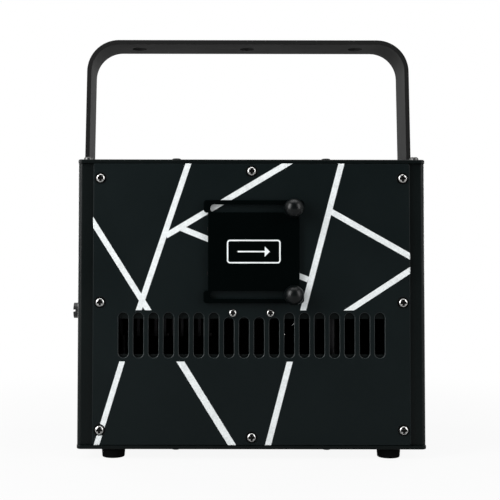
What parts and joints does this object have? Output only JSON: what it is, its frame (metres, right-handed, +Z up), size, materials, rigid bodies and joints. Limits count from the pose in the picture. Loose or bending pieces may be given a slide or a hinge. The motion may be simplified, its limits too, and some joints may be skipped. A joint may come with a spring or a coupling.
{
  "type": "laser show projector",
  "caption": "Black box laser show projector with a sliding aperture shutter, vented front panel, tilting U-shaped yoke and rear control sockets.",
  "frame": {"origin": "on the floor under the feet, at the middle of the whole part's width and depth", "axes": "+X to the right seen from the front, +Y to the rear, +Z up; the beam leaves towards -Y"},
  "size_m": [0.2482, 0.2092, 0.281],
  "materials": {
    "black_powder_coat": "fine-textured black powder coat on folded sheet",
    "printed_front": "black powder coat with white printed stripes",
    "grey_powder_coat": "dark grey powder coat on bent steel strip",
    "bare_steel": "bare bright steel",
    "zinc_screws": "zinc-plated pan heads",
    "black_screws": "black oxide",
    "black_rubber": "matt black rubber",
    "knob_plastic": "black moulded plastic, half gloss",
    "socket_plastic": "black moulded plastic",
    "washer_nylon": "black nylon",
    "rocker_plastic": "red moulded plastic",
    "button_plastic": "black rubbery plastic",
    "display_plastic": "dark red tinted window",
    "bright_metal": "nickel-plated",
    "brass": "turned brass",
    "bench_aluminium": "anodised aluminium",
    "motor_steel": "turned steel",
    "window_glass": "clear coated glass",
    "filter_glass": "coated filter glass",
    "scan_mirror": "thin coated mirror",
    "circuit_board": "green circuit board with fittings",
    "supply_case": "plain sheet case"
  },
  "bodies": {
    "housing": {"base_plate": "black_powder_coat", "top_lid": "black_powder_coat", "right_side_panel": "black_powder_coat", "left_side_panel": "black_powder_coat", "rear_panel": "black_powder_coat", "front_panel": "printed_front", "safety_eye": "grey_powder_coat", "cross_rails": "bare_steel", "vent_frame": "bare_steel", "pivot_nuts": "bare_steel", "signal_port": "bare_steel", "front_panel_screws": "zinc_screws", "vent_screws": "zinc_screws", "cover_screws": "zinc_screws", "rear_screws": "zinc_screws", "window_screws": "zinc_screws", "low_screws": "black_screws", "rubber_feet": "black_rubber", "input_socket": "socket_plastic", "output_socket": "socket_plastic", "power_inlet": "socket_plastic", "power_switch_frame": "socket_plastic", "fan_frame": "socket_plastic", "window_holder": "socket_plastic", "pivot_washers": "washer_nylon", "display_window": "display_plastic", "key_switch_body": "bright_metal", "shutter_bushes": "brass", "standoffs": "brass", "optical_bench": "bench_aluminium", "bench_pillars": "bench_aluminium", "heat_sink": "bench_aluminium", "galvo_block": "bench_aluminium", "red_laser_module": "bench_aluminium", "green_laser_module": "bench_aluminium", "blue_laser_module": "bench_aluminium", "filter_holders": "bench_aluminium", "horizontal_galvo_motor": "motor_steel", "vertical_galvo_motor": "motor_steel", "window_glass": "window_glass", "combining_filters": "filter_glass", "galvo_driver_board": "circuit_board", "control_board": "circuit_board", "power_supply": "supply_case"},
    "yoke": {"yoke": "grey_powder_coat"},
    "left_clamp_knob": {"left_clamp_knob": "knob_plastic"},
    "right_clamp_knob": {"right_clamp_knob": "knob_plastic"},
    "shutter": {"shutter_plate": "black_powder_coat"},
    "upper_thumbscrew": {"upper_thumbscrew": "knob_plastic"},
    "lower_thumbscrew": {"lower_thumbscrew": "knob_plastic"},
    "fan_rotor": {"fan_rotor": "socket_plastic"},
    "horizontal_scan_mirror": {"horizontal_scan_mirror": "scan_mirror"},
    "vertical_scan_mirror": {"vertical_scan_mirror": "scan_mirror"},
    "power_rocker": {"power_rocker": "rocker_plastic"},
    "key": {"key_barrel": "bright_metal", "switch_key": "bare_steel"},
    "menu_button_1": {"menu_button_1": "button_plastic"},
    "menu_button_2": {"menu_button_2": "button_plastic"},
    "menu_button_3": {"menu_button_3": "button_plastic"},
    "menu_button_4": {"menu_button_4": "button_plastic"}
  },
  "joints": [
    {"name": "yoke_tilt", "type": "hinge", "parent": "housing", "child": "yoke", "pos_m": [0, -0.00685, 0.089], "axis": [1, 0, 0], "range_deg": [-115, 115]},
    {"name": "left_knob_turn", "type": "hinge", "parent": "housing", "child": "left_clamp_knob", "pos_m": [-0.1146, -0.00685, 0.089], "axis": [-1, 0, 0], "range_deg": [0, 360]},
    {"name": "right_knob_turn", "type": "hinge", "parent": "housing", "child": "right_clamp_knob", "pos_m": [0.1146, -0.00685, 0.089], "axis": [1, 0, 0], "range_deg": [0, 360]},
    {"name": "shutter_slide", "type": "slide", "parent": "housing", "child": "shutter", "axis": [1, 0, 0], "range_m": [0, 0.05]},
    {"name": "upper_thumbscrew_turn", "type": "hinge", "parent": "housing", "child": "upper_thumbscrew", "pos_m": [0.0264, -0.09465, 0.15835], "axis": [0, -1, 0], "range_deg": [0, 360]},
    {"name": "lower_thumbscrew_turn", "type": "hinge", "parent": "housing", "child": "lower_thumbscrew", "pos_m": [0.0264, -0.09465, 0.10365], "axis": [0, -1, 0], "range_deg": [0, 360]},
    {"name": "fan_spin", "type": "hinge", "parent": "housing", "child": "fan_rotor", "pos_m": [0.056, 0.06815, 0.052], "axis": [0, 1, 0], "continuous": true},
    {"name": "horizontal_scan", "type": "hinge", "parent": "housing", "child": "horizontal_scan_mirror", "pos_m": [0, -0.05685, 0.117], "axis": [0, 1, 0], "range_deg": [-12, 12]},
    {"name": "vertical_scan", "type": "hinge", "parent": "housing", "child": "vertical_scan_mirror", "pos_m": [0, -0.05685, 0.131], "axis": [1, 0, 0], "range_deg": [-12, 12]},
    {"name": "power_rock", "type": "hinge", "parent": "housing", "child": "power_rocker", "pos_m": [-0.0045, 0.07715, 0.037], "axis": [1, 0, 0], "range_deg": [0, 20]},
    {"name": "key_turn", "type": "hinge", "parent": "housing", "child": "key", "pos_m": [0.0145, 0.07815, 0.133], "axis": [0, -1, 0], "range_deg": [0, 90]},
    {"name": "menu_button_1_press", "type": "slide", "parent": "housing", "child": "menu_button_1", "axis": [0, -1, 0], "range_m": [0, 0.0008], "stiffness_N_per_m": 400, "springref_m": -0.001},
    {"name": "menu_button_2_press", "type": "slide", "parent": "housing", "child": "menu_button_2", "axis": [0, -1, 0], "range_m": [0, 0.0008], "stiffness_N_per_m": 400, "springref_m": -0.001},
    {"name": "menu_button_3_press", "type": "slide", "parent": "housing", "child": "menu_button_3", "axis": [0, -1, 0], "range_m": [0, 0.0008], "stiffness_N_per_m": 400, "springref_m": -0.001},
    {"name": "menu_button_4_press", "type": "slide", "parent": "housing", "child": "menu_button_4", "axis": [0, -1, 0], "range_m": [0, 0.0008], "stiffness_N_per_m": 400, "springref_m": -0.001}
  ]
}
